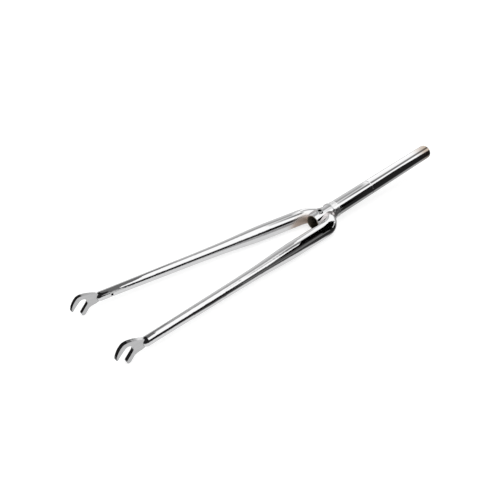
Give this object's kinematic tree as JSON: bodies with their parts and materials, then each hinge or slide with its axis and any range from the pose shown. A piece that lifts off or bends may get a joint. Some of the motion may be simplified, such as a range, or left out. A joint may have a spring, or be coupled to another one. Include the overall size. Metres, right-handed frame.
{
  "type": "bicycle fork",
  "caption": "Rigid chromed steel bicycle fork with straight tapered blades bent into a welded crown, slotted axle plates, a brake bolt hole and a plain steerer tube.",
  "frame": {"origin": "on the surface the fork lies on, below the middle of its box", "axes": "+X to the rider's left, +Y from the axle to the top of the steerer, +Z towards the front of the fork, up as it lies"},
  "size_m": [0.1174, 0.676, 0.0589],
  "materials": {
    "chrome_tube": "mirror-bright plating on steel tube",
    "chrome_plate": "bright plating on pressed steel plate",
    "chrome_turned": "bright plating on turned steel",
    "chrome_weld": "plated weld, slightly uneven"
  },
  "bodies": {
    "root": {"steerer_tube": "chrome_tube", "crown_race_seat": "chrome_turned", "brake_bolt_bush": "chrome_turned", "left_blade": "chrome_tube", "right_blade": "chrome_tube", "left_dropout": "chrome_plate", "right_dropout": "chrome_plate", "left_crown_weld": "chrome_weld", "right_crown_weld": "chrome_weld"}
  },
  "joints": []
}
